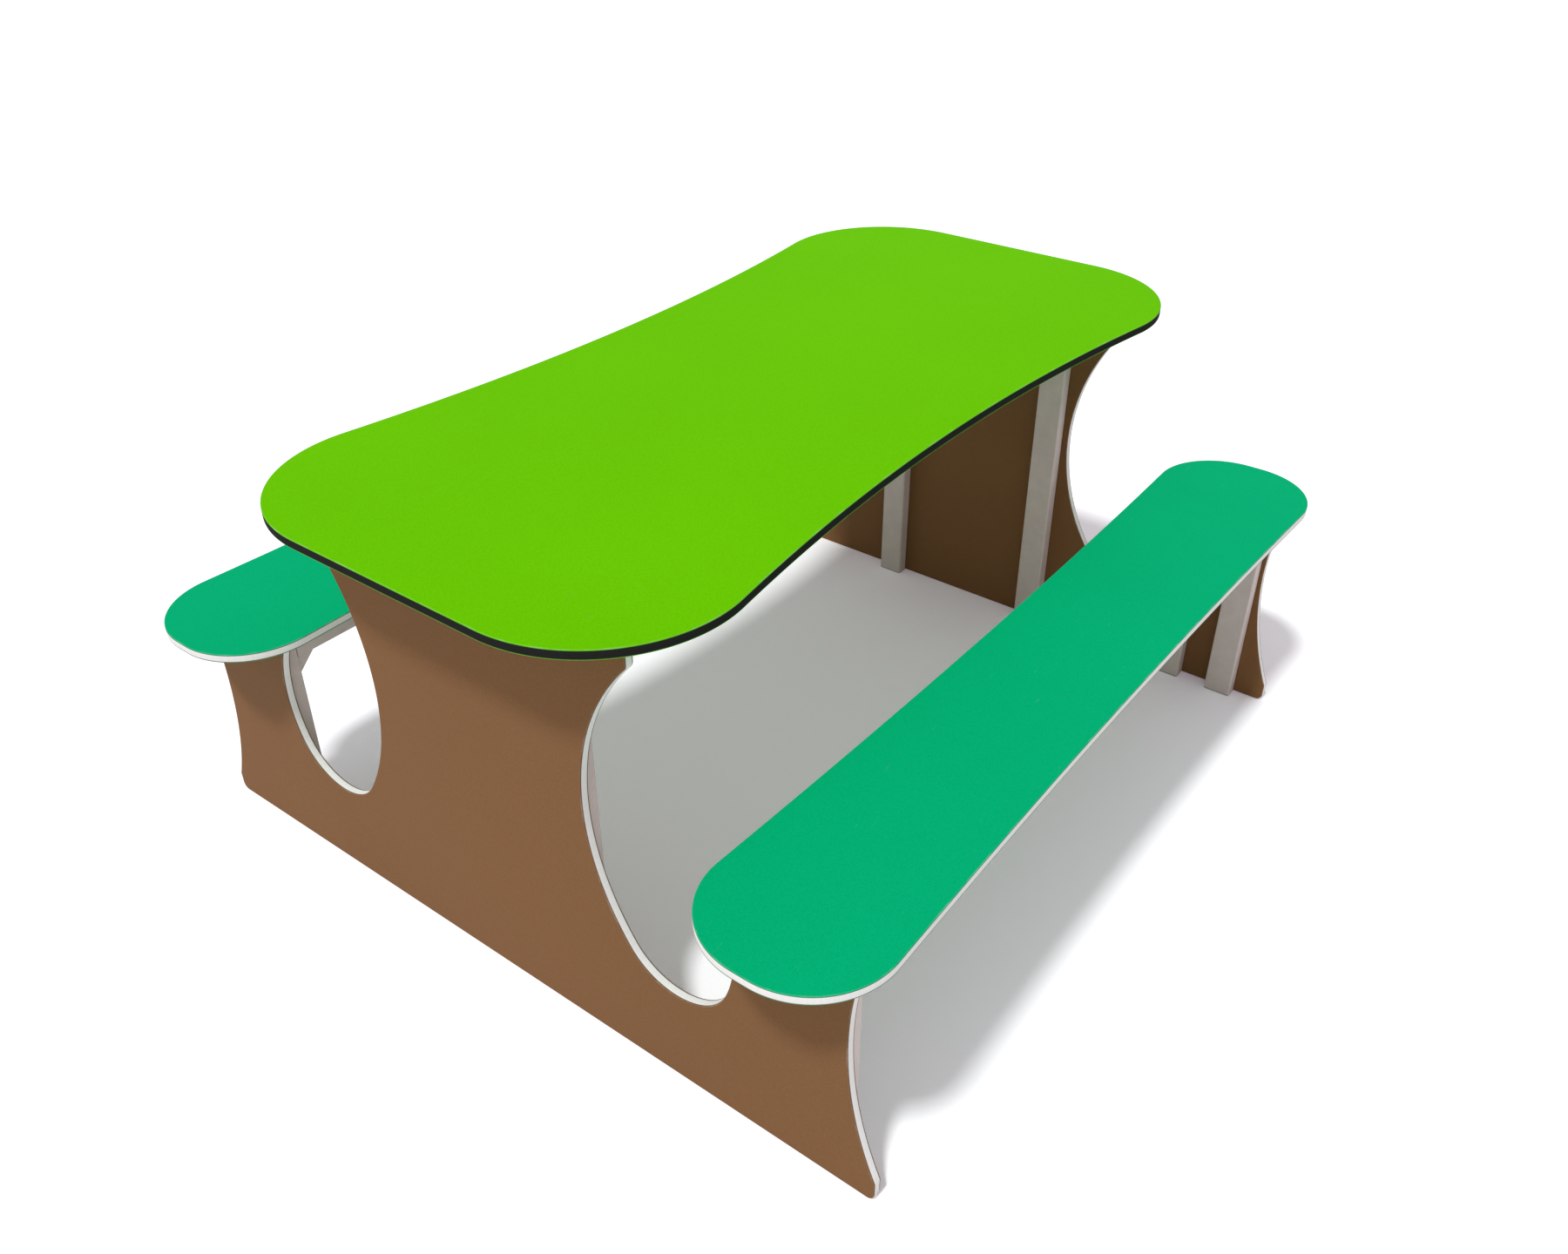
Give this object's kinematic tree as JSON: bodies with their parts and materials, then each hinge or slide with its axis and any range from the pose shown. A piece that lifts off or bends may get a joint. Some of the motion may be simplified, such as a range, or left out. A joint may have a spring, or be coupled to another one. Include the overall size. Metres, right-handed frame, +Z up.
{
  "type": "table with benches",
  "caption": "Outdoor table with a fixed bench along each long side: waisted plastic-sheet top and seats on cut-out end panels, with welded steel tube frames.",
  "frame": {"origin": "middle of the table on the floor", "axes": "+X along the table, +Y across it to the rear bench, +Z up"},
  "size_m": [1.6, 1.39, 0.75],
  "materials": {
    "green_sheet": "fine-grained green skins on a black core",
    "teal_sheet": "fine-grained teal skins on a white core",
    "brown_sheet": "fine-grained brown skins on a white core",
    "grey_tube": "satin grey coating",
    "zinc_screw": "zinc plated",
    "brass_insert": "turned",
    "grey_plastic": "moulded"
  },
  "bodies": {
    "root": {"end_panel_left": "brown_sheet", "end_panel_right": "brown_sheet", "front_bench_inner_gusset_left": "grey_tube", "front_bench_inner_gusset_right": "grey_tube", "front_bench_inner_plates": "grey_tube", "front_bench_inner_post_left": "grey_tube", "front_bench_inner_post_right": "grey_tube", "front_bench_inner_rail": "grey_tube", "front_bench_outer_gusset_left": "grey_tube", "front_bench_outer_gusset_right": "grey_tube", "front_bench_outer_plates": "grey_tube", "front_bench_outer_post_left": "grey_tube", "front_bench_outer_post_right": "grey_tube", "front_bench_outer_rail": "grey_tube", "front_bench_post_feet": "grey_plastic", "front_bench_post_inserts": "brass_insert", "front_bench_post_screws": "zinc_screw", "front_bench_seat": "teal_sheet", "front_bench_seat_inserts": "brass_insert", "front_bench_seat_screws": "zinc_screw", "rear_bench_inner_gusset_left": "grey_tube", "rear_bench_inner_gusset_right": "grey_tube", "rear_bench_inner_plates": "grey_tube", "rear_bench_inner_post_left": "grey_tube", "rear_bench_inner_post_right": "grey_tube", "rear_bench_inner_rail": "grey_tube", "rear_bench_outer_gusset_left": "grey_tube", "rear_bench_outer_gusset_right": "grey_tube", "rear_bench_outer_plates": "grey_tube", "rear_bench_outer_post_left": "grey_tube", "rear_bench_outer_post_right": "grey_tube", "rear_bench_outer_rail": "grey_tube", "rear_bench_post_feet": "grey_plastic", "rear_bench_post_inserts": "brass_insert", "rear_bench_post_screws": "zinc_screw", "rear_bench_seat": "teal_sheet", "rear_bench_seat_inserts": "brass_insert", "rear_bench_seat_screws": "zinc_screw", "table_front_gusset_left": "grey_tube", "table_front_gusset_right": "grey_tube", "table_front_plates": "grey_tube", "table_front_post_left": "grey_tube", "table_front_post_right": "grey_tube", "table_front_rail": "grey_tube", "table_post_feet": "grey_plastic", "table_post_inserts": "brass_insert", "table_post_screws": "zinc_screw", "table_rear_gusset_left": "grey_tube", "table_rear_gusset_right": "grey_tube", "table_rear_plates": "grey_tube", "table_rear_post_left": "grey_tube", "table_rear_post_right": "grey_tube", "table_rear_rail": "grey_tube", "table_top": "green_sheet", "table_top_inserts": "brass_insert", "table_top_screws": "zinc_screw"}
  },
  "joints": []
}
